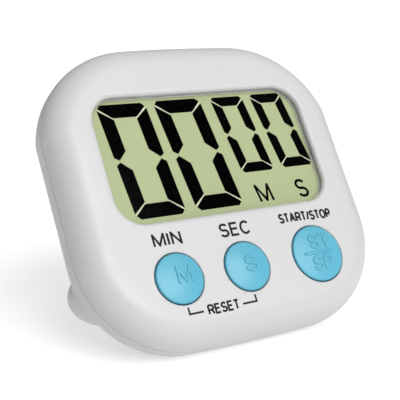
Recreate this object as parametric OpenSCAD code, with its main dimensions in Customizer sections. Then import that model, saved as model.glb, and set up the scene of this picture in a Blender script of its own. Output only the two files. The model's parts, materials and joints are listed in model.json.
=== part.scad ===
// Digital countdown timer: a rounded square case with a large display above three
// round buttons, leaning back on a fold-out stand.
// Everything is drawn in the frame of the front face: X to the right, Y up the
// face, Z out of the face, with the front face at Z = 0. place() then leans the
// whole timer back and sets it on the ground.

/* [Case] */
// Width of the case
case_w = 72; // [71:0.5:74]
// Height of the case along its face
case_h = 68.4; // [68:0.2:70]
// Depth of the case from the front face to the flat of the back
case_d = 13; // [13:0.1:13.4]
// Radius of the two top corners
top_corner_r = 23.5; // [22:0.5:25]
// Radius of the two bottom corners
bottom_corner_r = 21.5; // [20:0.5:23]
// Angle of the slight crease where a top corner meets the straight side
crease_angle = 11; // [6:1:14]
// How far the rounding of the front rim reaches in over the face
rim_in = 6; // [5:0.5:6.5]
// How far the rounding of the front rim reaches down the side
rim_down = 7; // [6.5:0.5:8]
// Radius of the back edge
back_edge_r = 4.5; // [3:0.5:4.5]
// Wall thickness of the front face
face_wall = 1.8; // [1.8:0.05:1.9]
// Wall thickness of the sides and the back
side_wall = 1.6; // [1.4:0.1:1.8]
// Depth of the parting line below the front face
seam_depth = 6; // [5.8:0.1:6.2]
// How far the timer leans back from upright, in degrees
lean = 33; // [30:1:36]

/* [Display] */
// Width of the window
window_w = 52.3; // [50:0.1:53]
// Height of the window
window_h = 28.4; // [27:0.1:28.6]
// Height of the window's centre above the case's centre
window_v = 6.5; // [6.3:0.05:6.6]
// Corner radius of the window
window_r = 6; // [4:0.5:7]
// How far the clear lens lies below the face
lens_recess = 1.5; // [1.4:0.05:1.5]

/* [Buttons] */
// Height of the button row, from the case's centre
button_v = -20; // [-20.2:0.1:-19.8]
// Place of the minutes button across the face
min_u = -17.1; // [-17.5:0.1:-16.5]
// Place of the seconds button across the face
sec_u = -0.9; // [-1.2:0.1:-0.6]
// Place of the start button across the face
start_u = 17.5; // [17:0.1:17.8]
// Radius of the minutes and seconds buttons
small_button_r = 5.25; // [5:0.05:5.3]
// Radius of the start button
start_button_r = 6.25; // [6:0.05:6.3]
// How far a button's crown stands above the face
button_proud = 1; // [0.8:0.1:1.2]
// How far a button travels when it is pressed
button_travel = 0.8; // [0.5:0.1:0.8]

/* [Battery] */
// Radius of the round cell
cell_r = 5.25; // [5:0.05:5.25]
// Length of the cell with its raised end
cell_l = 44.5; // [43.5:0.1:44.5]
// Height of the cell's axis, from the case's centre
cell_v = -17.5; // [-17.6:0.1:-17.4]
// Thickness of the battery door over the cell
door_wall = 1.1; // [1:0.05:1.2]

/* [Stand] */
// Length of the stand from its hinge to the middle of its foot
stand_l = 27; // [26:0.5:28]
// Width of the stand at its hinge
stand_w = 26; // [24:0.5:26]
// Width of the stand at its foot
foot_w = 20; // [16:0.5:24]
// Radius of the hinge pin
pin_r = 0.9; // [0.8:0.05:0.9]
// Radius of the disc magnet
magnet_r = 6.5; // [5:0.1:6.5]
// Thickness of the disc magnet
magnet_t = 3; // [2:0.1:3.2]

/* [Fasteners] */
// Radius of a case screw's thread
case_screw_r = 1.1; // [1:0.05:1.15]
// Radius of a circuit board screw's thread
pcb_screw_r = 0.85; // [0.75:0.05:0.9]

/* [Hidden] */
$fn = 64;
over = 0.5;                 // how far a cut runs past what it cuts
sink = 0.3;                 // how far a joined shape runs into its neighbour
far = 40;                   // outside the case in every direction
gap = 0.1;                  // clearance between neighbouring parts
touch = 0.02;               // clearance between parts that rest on each other
joint_gap = 0.03;           // between a wire's end and what it is soldered to

edge_angle = 2;             // half the sweep of the slightly bowed top and bottom edges
corner_steps = 12;          // segments in each corner
edge_steps = 3;             // segments in each half of a bowed edge
rim_steps = 7;              // segments down the front rim
back_steps = 5;             // segments round the back edge

// Depths, measured from the front face
lens_top = -lens_recess;
lens_t = 0.5;
lens_margin = 2;            // how far the lens reaches past the window, all round
polariser_t = 0.2;
glass_t = 1.1;
lcd_top = lens_top - lens_t - 0.05;
frame_top = -2.65;          // below the rounding inside the front rim
glass_top = lcd_top - polariser_t;
rear_glass_top = glass_top - glass_t;
reflector_top = rear_glass_top - glass_t;
pcb_top = -5.6;
pcb_t = 0.8;
pcb_back = pcb_top - pcb_t;
inner_back = -case_d + side_wall;

// The display's glass
lcd_half_w = 27.6;
lcd_top_v = 21.8;
lcd_bottom_v = -10.9;
ledge_v = -8.4;             // the rear glass ends here, to bare the contact ledge
film_inset = 0.3;           // how far the films stop short of the glass edges
frame_wall = 1.1;
zebra_w = 1.6;
zebra_half_l = 25;

// The buttons
bore_gap = 0.25;            // the gap seen round each button
flange_out = 1;
flange_t = 1;
flange_gap = 0.05;          // between a flange and the inside of the face
stem_r = 1.9;
stem_gap = 0.05;            // between a stem and the dome under it
dome_h = 2;
dome_top = pcb_top + dome_h;
pill_r = 1.6;
pill_t = 0.45;
dome_roof = 0.6;

// The battery bay, a round trough along X
cell_n = -13.3;             // depth of the cell's axis
bay_r = cell_r + 0.2;
ridge_r = bay_r + door_wall;
ridge_half_l = 35.6;
ridge_end_l = 9.3;          // length of each rounded end of the ridge
trough_r = bay_r + 1;
bay_side = 10;              // more than the trough's radius
cell_left = -21.9;
bay_left = -25.4;
bay_right = 23.1;
end_wall = 1.2;
contact_t = 0.35;
tab_n = -9.7;               // depth of the middle of each contact's solder tab
tab_v = -9.6;               // height of the end of each solder tab
tab_half_w = 1.5;
slot_play = 0.2;
door_left = -24.4;
rail_right = 24;
flange_reach = 1.1;         // how far each door flange stands out from the ridge
flange_half_w = ridge_r + flange_reach;
rail_t = 1.2;
rail_lip = 0.9;
rail_h = 2;                 // how far the rails stand out from the back
rail_play = 0.2;            // between a rail's lip and the ridge
door_flange_t = 0.8;

// The stand
pivot_v = -5.4;
pivot_n = -case_d - 2.2;
barrel_r = 1.9;
ear_r = 2.2;
ear_t = 3;
ear_u = stand_w / 2 + 0.2;
plate_t = 2.4;
plate_in = 1.8;             // from the pivot to the plate's inner face
foot_r = 1.5;
foot_end = 0.3;             // how far the foot reaches past the plate on each side
foot_in = plate_in - plate_t / 2; // from the pivot to the foot's axis, inwards
puck_s = 15;                // from the pivot to the magnet's centre
puck_r = magnet_r + 1;
puck_top = pivot_n - cell_n + ridge_r; // the magnet's face lies level with the ridge
pin_l = 2 * (ear_u + ear_t) - 0.6;
ear_play = 0.03;            // round the pin in the ears, which hold it
stand_play = 0.06;          // round the pin in the stand, which turns on it
magnet_play = 0.05;

// The fasteners, as [across, up]
case_screws_at = [[-20, 26.9], [20, 26.9], [-9.5, -28.3], [9.5, -28.3]];
pcb_screws_at = [[-12, 25.4], [12, 25.4], [-29.8, -14.8], [29.8, -14.8]];
boss_r = 2.5;
post_r = 2.8;
case_head_r = 2.1;
case_head_t = 1.2;
pcb_boss_r = 2;
pcb_head_r = 1.8;
pcb_head_t = 1;
head_play = 0.15;
thread_play = 0.05;         // round a screw's thread in its boss
hole_play = 0.2;            // round a case screw in its post
head_sunk = 0.2;            // how far a case screw's head lies below the back
case_shaft_l = 8.4;
pcb_shaft_l = 3;

// The hanging hole and the buzzer
hang_v = 27;
hang_r = 2.75;
hang_depth = 3;
hang_wall = 1.2;
buzzer_at = [21, 10];
buzzer_r = 10.2;
ceramic_r = 7.2;
buzzer_ring_h = 1.8;
sound_hole_r = 0.7;
sound_ring_r = 3.5;

// ---- The case's outline and profile ----

// Points of an arc after its first point
function arc(cx, cy, r, a0, a1, steps) = [
    for (i = [1 : steps])
        let (a = a0 + (a1 - a0) * i / steps)
        [cx + r * cos(a), cy + r * sin(a)]
];

// Right half of the outline, moved in by d, from the top centre to the bottom centre
function half_outline(d) =
    let (
        w = case_w / 2 - d,
        h = case_h / 2 - d,
        rt = top_corner_r - d,
        rb = bottom_corner_r - d,
        top_u = w - rt * (cos(crease_angle) - sin(edge_angle)),
        bottom_u = w - rb * (1 - sin(edge_angle)),
        top_r = top_u / sin(edge_angle),
        bottom_r = bottom_u / sin(edge_angle),
        top_v = h - top_r * (1 - cos(edge_angle)),
        bottom_v = -h + bottom_r * (1 - cos(edge_angle))
    )
    concat(
        [[0, h]],
        arc(0, h - top_r, top_r, 90, 90 - edge_angle, edge_steps),
        arc(top_u - rt * sin(edge_angle), top_v - rt * cos(edge_angle), rt,
            90 - edge_angle, crease_angle, corner_steps),
        [[w, bottom_v + rb * cos(edge_angle)]],
        arc(w - rb, bottom_v + rb * cos(edge_angle), rb,
            0, -90 + edge_angle, corner_steps),
        arc(0, -h + bottom_r, bottom_r, -90 + edge_angle, -90, edge_steps)
    );

// The whole outline, clockwise from the top centre
function outline(d) =
    let (right = half_outline(d), last = len(right) - 1)
    concat(right, [for (i = [last - 1 : -1 : 1]) [-right[i][0], right[i][1]]]);

// The front rim as [inset, depth], from the seam up to a face at the given depth
function rim_profile(wall, reach, face) = [
    for (i = [0 : rim_steps])
        let (
            down = rim_down + face,
            start = asin((rim_down - seam_depth) / down),
            a = start + (90 - start) * i / rim_steps
        )
        [wall + reach * (1 - cos(a)), -rim_down + down * sin(a)]
];

// The back edge as [inset, depth], from the flat of the back up to the side
function back_profile(wall, bottom, r) = [
    for (i = [0 : back_steps])
        let (a = 90 - 90 * i / back_steps)
        [wall + r * (1 - cos(a)), bottom + r - r * sin(a)]
];

outer_rim = rim_profile(0, rim_in, 0);
outer_back = concat(back_profile(0, -case_d, back_edge_r), [outer_rim[0]]);
inner_rim = concat(
    [[side_wall, -seam_depth - 1]],
    rim_profile(side_wall, rim_in - side_wall + 0.2, -face_wall)
);
inner_back_edge = concat(
    back_profile(side_wall, inner_back, back_edge_r - side_wall),
    [[side_wall, -seam_depth + 1]]
);

// A solid through the outline at each [inset, depth] level, from the back forwards
module loft(levels) {
    rings = [for (l = levels) [for (p = outline(l[0])) [p[0], p[1], l[1]]]];
    n = len(rings[0]);
    last = (len(levels) - 1) * n;
    polyhedron(
        points = [for (ring = rings) for (p = ring) p],
        faces = concat(
            [[for (i = [n - 1 : -1 : 0]) i]],
            [[for (i = [0 : n - 1]) last + i]],
            [for (j = [0 : len(levels) - 2]) for (i = [0 : n - 1])
                [j * n + i, j * n + (i + 1) % n, (j + 1) * n + (i + 1) % n]],
            [for (j = [0 : len(levels) - 2]) for (i = [0 : n - 1])
                [j * n + i, (j + 1) * n + (i + 1) % n, (j + 1) * n + i]]
        )
    );
}

// ---- Placing ----

// The case's lowest, frontmost and rearmost points, once it leans back
edge_levels = concat(outer_back, outer_rim);
ground = min([for (l = edge_levels) -(case_h / 2 - l[0]) * cos(lean) + l[1] * sin(lean)]);
pivot_h = pivot_v * cos(lean) + pivot_n * sin(lean);
pivot_y = pivot_v * sin(lean) - pivot_n * cos(lean);
foot_reach = norm([stand_l, foot_in]);
leg_drop = asin((pivot_h - foot_r - ground) / foot_reach) + atan(foot_in / stand_l);
stand_angle = 90 - lean + leg_drop;     // from folded flat to standing
foot_y = pivot_y + stand_l * cos(leg_drop) + foot_in * sin(leg_drop);
front_y = min([for (l = edge_levels) -(case_h / 2 - l[0]) * sin(lean) - l[1] * cos(lean)]);
case_back_y = max([for (l = edge_levels) (case_h / 2 - l[0]) * sin(lean) - l[1] * cos(lean)]);
back_y = max(case_back_y, foot_y + foot_r);

// Leans the timer back and stands it on the ground, centred
module place() {
    translate([0, -(front_y + back_y) / 2, -ground])
        rotate([90 - lean, 0, 0])
            children();
}

// Turns what is drawn folded flat against the back, along +Y from the hinge
module place_stand() {
    place()
        translate([0, pivot_v, pivot_n])
            rotate([-stand_angle, 0, 0])
                children();
}

// ---- Shapes used more than once ----

// A slab with rounded corners, centred on [u, v], from depth z0 up to z1
module rounded_slab(w, h, r, z0, z1, u = 0, v = 0) {
    translate([u, v, z0]) {
        translate([-w / 2 + r, -h / 2, 0])
            cube([w - 2 * r, h, z1 - z0]);
        translate([-w / 2, -h / 2 + r, 0])
            cube([w, h - 2 * r, z1 - z0]);
        for (x = [-1, 1], y = [-1, 1])
            translate([x * (w / 2 - r), y * (h / 2 - r), 0])
                cylinder(r = r, h = z1 - z0);
    }
}

// A box between two corners
module box(a, b) {
    translate(a)
        cube(b - a);
}

// A cylinder along Z between two depths
module post(at, r, z0, z1) {
    translate([at[0], at[1], z0])
        cylinder(r = r, h = z1 - z0);
}

// A cylinder along X between two places, on the axis [v, n]
module rod(axis, r, u0, u1) {
    translate([u0, axis[0], axis[1]])
        rotate([0, 90, 0])
            cylinder(r = r, h = u1 - u0);
}

cell_axis = [cell_v, cell_n];

// The rounded ridge over the cell, a solid of revolution along X
module ridge() {
    straight = ridge_half_l - ridge_end_l;
    steps = 8;
    end_points = [
        for (i = [0 : steps])
            let (a = 90 * i / steps)
            [ridge_r * cos(a), straight + ridge_end_l * sin(a)]
    ];
    translate([0, cell_v, cell_n])
        rotate([0, 90, 0])
            rotate_extrude()
                polygon(concat(
                    end_points,
                    [for (i = [steps : -1 : 0]) [end_points[i][0], -end_points[i][1]]]
                ));
}

// A round wire through the given points, as an eight-sided tube
module wire(path, r) {
    sides = 8;
    n = len(path);
    function unit(v) = v / norm(v);
    function heading(i) = unit(path[min(i + 1, n - 1)] - path[max(i - 1, 0)]);
    function aside(i) =
        let (h = heading(i))
        unit(cross(h, abs(h[0]) > 0.8 ? [0, 1, 0] : [1, 0, 0]));
    rings = [
        for (i = [0 : n - 1]) [
            for (k = [0 : sides - 1])
                let (a = 360 * k / sides, s = aside(i), t = cross(heading(i), s))
                path[i] + r * (cos(a) * s + sin(a) * t)
        ]
    ];
    polyhedron(
        points = [for (ring = rings) for (p = ring) p],
        faces = concat(
            [[for (k = [0 : sides - 1]) k]],
            [[for (k = [sides - 1 : -1 : 0]) (n - 1) * sides + k]],
            [for (i = [0 : n - 2]) for (k = [0 : sides - 1])
                [i * sides + k, (i + 1) * sides + (k + 1) % sides, i * sides + (k + 1) % sides]],
            [for (i = [0 : n - 2]) for (k = [0 : sides - 1])
                [i * sides + k, (i + 1) * sides + k, (i + 1) * sides + (k + 1) % sides]]
        )
    );
}

// ---- Case ----

module front_case() {
    color("whitesmoke") place() {
        difference() {
            loft(outer_rim);
            loft(inner_rim);
            window_opening();
            button_bore(min_u, small_button_r);
            button_bore(sec_u, small_button_r);
            button_bore(start_u, start_button_r);
        }
        for (at = case_screws_at)
            screw_boss(at, boss_r, case_screw_r, -seam_depth);
        for (at = pcb_screws_at)
            screw_boss(at, pcb_boss_r, pcb_screw_r, pcb_top + touch);
    }
}

// The window, with a rebate on the inside for the lens
module window_opening() {
    rounded_slab(window_w, window_h, window_r, -face_wall - over, over, 0, window_v);
    rounded_slab(
        window_w + 2 * (lens_margin + gap), window_h + 2 * (lens_margin + gap),
        window_r + lens_margin, -face_wall - over, lens_top + touch, 0, window_v
    );
}

module button_bore(u, r) {
    post([u, button_v], r + bore_gap, -face_wall - over, over);
}

// A round boss under the face with a blind hole for a screw
module screw_boss(at, r, screw_r, bottom) {
    solid_end = 0.7;        // the hole stops this far below the face's inside
    difference() {
        post(at, r, bottom, -face_wall + sink);
        post(at, screw_r + thread_play, bottom - over, -face_wall - solid_end);
    }
}

module back_case() {
    color("whitesmoke") place() difference() {
        union() {
            difference() {
                union() {
                    loft(outer_back);
                    fixed_ridge();
                }
                loft(inner_back_edge);
            }
            seam_lip();
            trough();
            rails();
            hinge_ears();
            for (at = case_screws_at)
                post(at, post_r, inner_back - sink, -seam_depth - touch);
            post([0, hang_v], hang_r + hang_wall, inner_back - sink, -case_d + hang_depth + 1);
            buzzer_ring();
        }
        battery_bay();
        hinge_bore();
        for (at = case_screws_at)
            screw_hole(at);
        post([0, hang_v], hang_r, -case_d - over, -case_d + hang_depth);
        sound_holes();
    }
}

// The ends of the ridge that stay with the case when the door is off
module fixed_ridge() {
    difference() {
        ridge();
        box([door_left, cell_v - bay_side, -far], [far, cell_v + bay_side, -case_d]);
    }
}

// A thin wall that stands up inside the front case and lines up the two halves
module seam_lip() {
    lip_in = side_wall + 0.25;
    lip_t = 0.8;
    lip_h = 1.2;
    lean_in = 0.45;
    difference() {
        loft([
            [side_wall / 2, -seam_depth - 2],
            [side_wall / 2, -seam_depth - 0.6],
            [lip_in, -seam_depth - 0.2],
            [lip_in + lean_in, -seam_depth + lip_h]
        ]);
        loft([
            [lip_in + lip_t, -seam_depth - 2 - over],
            [lip_in + lip_t, -seam_depth],
            [lip_in + lip_t + lean_in + 0.2, -seam_depth + lip_h + over]
        ]);
    }
}

// The round floor between the cell and the circuit board
module trough() {
    intersection() {
        rod(cell_axis, trough_r, bay_left - end_wall, bay_right + end_wall);
        box([-far, cell_v - bay_side, -case_d], [far, cell_v + bay_side, 0]);
    }
    rod(cell_axis, bay_r - gap, bay_right, bay_right + end_wall);
}

// The space for the cell and its contacts, the door's opening and the tab slots
module battery_bay() {
    rod(cell_axis, bay_r, bay_left, bay_right);
    for (u = [bay_left - touch, bay_right - contact_t - slot_play])
        box([u, cell_v, tab_n - tab_half_w - gap],
            [u + contact_t + slot_play + gap, tab_v + over, tab_n + tab_half_w + gap]);
}

// The two L-shaped rails that hold the sliding door down
module rails() {
    for (side = [-1, 1]) {
        inner = flange_half_w + gap;
        bottom = -case_d - rail_h;
        translate([0, cell_v, 0]) {
            mirror([0, side < 0 ? 1 : 0, 0]) {
                box([door_left, inner, bottom], [rail_right, inner + rail_t, -case_d + sink]);
                box([door_left, ridge_r + rail_play, bottom],
                    [rail_right, inner + rail_t, bottom + rail_lip]);
            }
        }
    }
}

// The two ears that carry the stand's hinge pin
module hinge_ears() {
    for (side = [-1, 1]) {
        u0 = side > 0 ? ear_u : -ear_u - ear_t;
        rod([pivot_v, pivot_n], ear_r, u0, u0 + ear_t);
        box([u0, pivot_v - ear_r, pivot_n], [u0 + ear_t, pivot_v + ear_r, -case_d + sink]);
    }
}

module hinge_bore() {
    rod([pivot_v, pivot_n], pin_r + ear_play, -ear_u - ear_t - over, ear_u + ear_t + over);
}

// A hole for a case screw, with a counterbore for its head
module screw_hole(at) {
    post(at, case_screw_r + hole_play, -case_d - over, -seam_depth + over);
    post(at, case_head_r + head_play, -case_d - over, -case_d + case_head_t + head_sunk);
}

// A round seat that holds the buzzer disc off the back wall
module buzzer_ring() {
    outside = 0.6;
    seat = 0.8;
    difference() {
        post(buzzer_at, buzzer_r + outside, inner_back - sink, inner_back + buzzer_ring_h);
        post(buzzer_at, buzzer_r - seat, inner_back, inner_back + buzzer_ring_h + over);
    }
}

module sound_holes() {
    post(buzzer_at, sound_hole_r, -case_d - over, inner_back + over);
    for (a = [0 : 60 : 300])
        post(buzzer_at + sound_ring_r * [cos(a), sin(a)], sound_hole_r,
            -case_d - over, inner_back + over);
}

// ---- Display ----

module window_lens() {
    color("lightgray", 0.4) place()
        rounded_slab(
            window_w + 2 * lens_margin, window_h + 2 * lens_margin, window_r + lens_margin - gap,
            lens_top - lens_t, lens_top, 0, window_v
        );
}

// One sheet of the display, between two heights and two depths
module lcd_sheet(bottom_v, inset, z0, z1) {
    box([-lcd_half_w + inset, bottom_v, z0], [lcd_half_w - inset, lcd_top_v - inset, z1]);
}

module lcd_polariser() {
    color("darkolivegreen") place()
        lcd_sheet(ledge_v, film_inset, glass_top + touch, lcd_top);
}

module lcd_front_glass() {
    color("lightgreen") place()
        lcd_sheet(lcd_bottom_v, 0, rear_glass_top, glass_top);
}

module lcd_rear_glass() {
    color("lightgreen") place()
        lcd_sheet(ledge_v, 0, reflector_top, rear_glass_top - touch);
}

module lcd_reflector() {
    color("darkseagreen") place()
        lcd_sheet(ledge_v + film_inset, film_inset, reflector_top - polariser_t,
            reflector_top - touch);
}

// The frame that holds the display down on the circuit board
module lcd_frame() {
    pocket_w = 2 * (lcd_half_w + gap);
    pocket_h = lcd_top_v - lcd_bottom_v + 2 * gap;
    middle_v = (lcd_top_v + lcd_bottom_v) / 2;
    frame_r = 2.5;
    pocket_r = 0.2;
    color("dimgray") place() difference() {
        rounded_slab(pocket_w + 2 * frame_wall, pocket_h + 2 * frame_wall, frame_r,
            pcb_top + touch, frame_top, 0, middle_v);
        rounded_slab(pocket_w, pocket_h, pocket_r, pcb_top - over, frame_top + over, 0, middle_v);
    }
}

// The striped rubber strip that joins the glass ledge to the circuit board
module zebra_strip() {
    v0 = lcd_bottom_v + film_inset;
    color("pink") place()
        box([-zebra_half_l, v0, pcb_top + touch],
            [zebra_half_l, v0 + zebra_w, rear_glass_top - touch]);
}

// ---- Circuit board ----

module main_pcb() {
    lower_w = 64;
    lower_top = -9;
    lower_bottom = -25.2;
    lower_r = 12;
    upper_w = 57.6;
    upper_top = 22.9;
    tab_w = 30;
    tab_top = 28;
    pcb_hole_play = 0.15;
    color("seagreen") place() difference() {
        union() {
            intersection() {
                rounded_slab(lower_w, 40, lower_r, pcb_back, pcb_top, 0, lower_bottom + 20);
                box([-lower_w, lower_bottom, pcb_back], [lower_w, lower_top, pcb_top]);
            }
            box([-upper_w / 2, lower_top - 1, pcb_back], [upper_w / 2, upper_top, pcb_top]);
            box([-tab_w / 2, upper_top - 1, pcb_back], [tab_w / 2, tab_top, pcb_top]);
        }
        for (at = pcb_screws_at)
            post(at, pcb_screw_r + pcb_hole_play, pcb_back - over, pcb_top + over);
    }
}

// The black resin over the bare chip, a low dome on the back of the board
module chip_cover() {
    r = 5.5;
    h = 1.3;
    steps = 6;
    at = [-12, 8];
    color("black") place()
        translate([at[0], at[1], pcb_back - touch])
            rotate_extrude()
                polygon(concat(
                    [[0, 0]],
                    [for (i = [0 : steps]) [r * cos(90 * i / steps), -h * sin(90 * i / steps)]]
                ));
}

module crystal() {
    can_r = 1;
    can_l = 6.2;
    left = -3;
    height = 15;
    color("silver") place()
        rod([height, pcb_back - can_r - touch], can_r, left, left + can_l);
}

// Resistors and capacitors on the back of the board, as [u, v, long, wide, high]
module smd_parts() {
    chips = [
        [-22, 2, 1.6, 0.8, 0.45], [-22, 5, 1.6, 0.8, 0.45], [-3, 5, 1.6, 0.8, 0.45],
        [1, 9, 2, 1.25, 0.9], [6, 9, 2, 1.25, 0.9], [-3, 1, 2, 1.25, 0.9]
    ];
    color("tan") place()
        for (c = chips)
            translate([c[0], c[1], pcb_back - c[4] - touch])
                cube([c[2], c[3], c[4]]);
}

// ---- Buttons ----

// A domed cap with a flange under the face and a short stem behind
module button_cap(u, r) {
    crown = 0.8;
    ball_r = (r * r + crown * crown) / (2 * crown);
    flange_top = -face_wall - flange_gap;
    color("skyblue") place() {
        intersection() {
            post([u, button_v], r, flange_top - flange_t, button_proud + over);
            translate([u, button_v, button_proud - ball_r])
                sphere(r = ball_r, $fn = 160);
        }
        post([u, button_v], r + flange_out, flange_top - flange_t, flange_top);
        post([u, button_v], stem_r, dome_top + stem_gap, flange_top - flange_t + sink);
    }
}

module button_min() {
    button_cap(min_u, small_button_r);
}

module button_sec() {
    button_cap(sec_u, small_button_r);
}

module button_start() {
    button_cap(start_u, start_button_r);
}

// The rubber dome that springs a button back, standing on the circuit board
module rubber_dome(u) {
    foot_out = 4.8;
    foot_t = 0.5;
    skirt_in = 3.2;
    skirt_out = 3.7;
    crown_r = 2.5;
    roof_r = 2;
    chamfer = 0.2;
    top = dome_h - touch;
    inner_top = dome_h - dome_roof;
    color("lightgray") place()
        translate([u, button_v, pcb_top + touch])
            rotate_extrude()
                polygon([
                    [skirt_in, 0], [foot_out, 0], [foot_out, foot_t], [skirt_out, foot_t],
                    [crown_r, top - chamfer], [crown_r - chamfer, top], [0, top],
                    [0, inner_top], [roof_r, inner_top], [skirt_in, foot_t - 0.1]
                ]);
}

module dome_min() {
    rubber_dome(min_u);
}

module dome_sec() {
    rubber_dome(sec_u);
}

module dome_start() {
    rubber_dome(start_u);
}

// The carbon pill that closes the contacts on the board
module carbon_pill(u) {
    pill_top = dome_top - dome_roof - touch;
    color("black") place()
        post([u, button_v], pill_r, pill_top - pill_t, pill_top);
}

module pill_min() {
    carbon_pill(min_u);
}

module pill_sec() {
    carbon_pill(sec_u);
}

module pill_start() {
    carbon_pill(start_u);
}

// ---- Buzzer ----

buzzer_bottom = inner_back + buzzer_ring_h + touch;
buzzer_t = 0.25;
ceramic_t = 0.2;

module buzzer_plate() {
    color("goldenrod") place()
        post(buzzer_at, buzzer_r, buzzer_bottom, buzzer_bottom + buzzer_t);
}

module buzzer_ceramic() {
    color("ivory") place()
        post(buzzer_at, ceramic_r, buzzer_bottom + buzzer_t + touch,
            buzzer_bottom + buzzer_t + touch + ceramic_t);
}

module buzzer_wires() {
    wire_r = 0.35;
    from_ceramic = buzzer_bottom + buzzer_t + touch + ceramic_t + joint_gap;
    from_plate = buzzer_bottom + buzzer_t + joint_gap;
    color("firebrick") place() {
        wire([[18, 9, from_ceramic], [18, 9, -8.4], [17.2, 8.6, -7.8], [15, 8, -7.5],
            [13, 7.5, -7.4], [12, 7, -7.1], [12, 7, pcb_back - joint_gap]], wire_r);
        wire([[21, 1.2, from_plate], [21, 1.2, -8.6], [20.4, 0.6, -7.9], [18.5, 0, -7.5],
            [16.5, -0.5, -7.4], [15.4, -0.8, -7.1], [15.4, -0.8, pcb_back - joint_gap]], wire_r);
    }
}

// ---- Battery ----

module battery() {
    nub_r = 1.9;
    nub_l = 1.2;
    rim = 0.4;
    color("darkslategray") place() {
        rod(cell_axis, cell_r, cell_left + rim, cell_left + cell_l - nub_l - rim);
        rod(cell_axis, cell_r - rim, cell_left, cell_left + cell_l - nub_l);
        rod(cell_axis, nub_r, cell_left, cell_left + cell_l);
    }
}

// A contact plate across the bay's end, with a solder tab above the bay
module contact_plate(u) {
    reach = 3.5;
    box([u, cell_v - reach, cell_n - reach], [u + contact_t, cell_v + reach, cell_n + reach]);
    box([u, cell_v, tab_n - tab_half_w], [u + contact_t, tab_v, tab_n + tab_half_w]);
}

// The cone-shaped spring and its plate, at the flat end of the cell
module battery_spring() {
    turns = 3;
    steps = 12;
    wide_r = 3;
    narrow_r = 1.5;
    spring_wire_r = 0.3;
    start_u0 = bay_left + contact_t + spring_wire_r;
    end_u0 = cell_left - spring_wire_r - touch;
    count = turns * steps;
    color("silver") place() {
        contact_plate(bay_left + touch);
        wire([
            for (i = [0 : count])
                let (f = i / count, r = wide_r + (narrow_r - wide_r) * f, a = 360 * turns * f)
                [start_u0 - 0.1 + (end_u0 - start_u0 + 0.1) * f,
                 cell_v + r * cos(a), cell_n + r * sin(a)]
        ], spring_wire_r);
    }
}

// The flat contact at the raised end of the cell
module battery_plate() {
    color("silver") place()
        contact_plate(bay_right - contact_t - touch);
}

// A wire from the end of a solder tab to the board, bending towards the middle
module battery_wire(u, side) {
    wire_r = 0.5;
    reach = 5.8;            // how far it runs across before it meets the board
    end_v = -6.5;
    wire([[u, tab_v + joint_gap, tab_n], [u, -8.4, tab_n], [u + side * 0.6, -7.2, -9.4],
        [u + side * 2, end_v, -8.8], [u + side * 4, end_v + 0.1, -8.1],
        [u + side * (reach - 0.4), end_v, -7.6], [u + side * reach, end_v, -7.1],
        [u + side * reach, end_v, pcb_back - joint_gap]], wire_r);
}

module battery_wire_black() {
    u = bay_left + contact_t / 2;
    color("black") place()
        battery_wire(u, 1);
}

module battery_wire_red() {
    u = bay_right - contact_t / 2;
    color("red") place()
        battery_wire(u, -1);
}

// The sliding door: the middle and right end of the ridge, with a flange on each side
module battery_door() {
    bottom = -case_d - gap;
    end_play = 0.4;         // past the end of the bay
    flange_root = 0.6;      // how far each flange runs into the ridge
    color("whitesmoke") place() {
        difference() {
            intersection() {
                ridge();
                box([door_left + gap, cell_v - bay_side, -far],
                    [far, cell_v + bay_side, bottom]);
            }
            rod(cell_axis, bay_r, door_left - over, bay_right + end_wall + end_play);
        }
        for (side = [-1, 1])
            translate([0, cell_v, 0])
                mirror([0, side < 0 ? 1 : 0, 0])
                    box([door_left + gap, ridge_r - flange_root, bottom - door_flange_t],
                        [rail_right, flange_half_w, bottom]);
    }
}

// ---- Stand ----

module stand() {
    plate_top = -plate_in + plate_t;
    color("whitesmoke") place_stand() mirror([0, 0, 1]) difference() {
        union() {
            rod([0, 0], barrel_r, -stand_w / 2, stand_w / 2);
            translate([0, 0, -plate_in])
                linear_extrude(plate_t)
                    polygon([
                        [-stand_w / 2, 0], [stand_w / 2, 0],
                        [foot_w / 2, stand_l], [-foot_w / 2, stand_l]
                    ]);
            rod([stand_l, -foot_in], foot_r, -foot_w / 2 - foot_end, foot_w / 2 + foot_end);
            post([0, puck_s], puck_r, 0, puck_top);
        }
        rod([0, 0], pin_r + stand_play, -stand_w, stand_w);
        post([0, puck_s], magnet_r + magnet_play, puck_top - magnet_t, puck_top + over);
    }
}

module stand_pin() {
    color("silver") place()
        rod([pivot_v, pivot_n], pin_r, -pin_l / 2, pin_l / 2);
}

module magnet() {
    color("dimgray") place_stand() mirror([0, 0, 1])
        post([0, puck_s], magnet_r, puck_top - magnet_t + touch, puck_top);
}

// ---- Fasteners ----

// A cross-head screw whose head lies at depth z0, with its shaft towards the face
module screw(at, r, head_r, head_t, z0, shaft_l) {
    slot_w = head_r * 0.28;
    slot_l = head_r * 1.2;
    difference() {
        union() {
            post(at, head_r, z0, z0 + head_t);
            post(at, r, z0, z0 + head_t + shaft_l);
        }
        for (turn = [0, 90])
            translate([at[0], at[1], z0])
                rotate([0, 0, turn])
                    cube([slot_l, slot_w, head_t], center = true);
    }
}

module case_screws() {
    color("silver") place()
        for (at = case_screws_at)
            screw(at, case_screw_r, case_head_r, case_head_t,
                -case_d + head_sunk - touch, case_shaft_l);
}

module pcb_screws() {
    color("silver") place()
        for (at = pcb_screws_at)
            screw(at, pcb_screw_r, pcb_head_r, pcb_head_t,
                pcb_back - pcb_head_t - touch, pcb_shaft_l);
}

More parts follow.
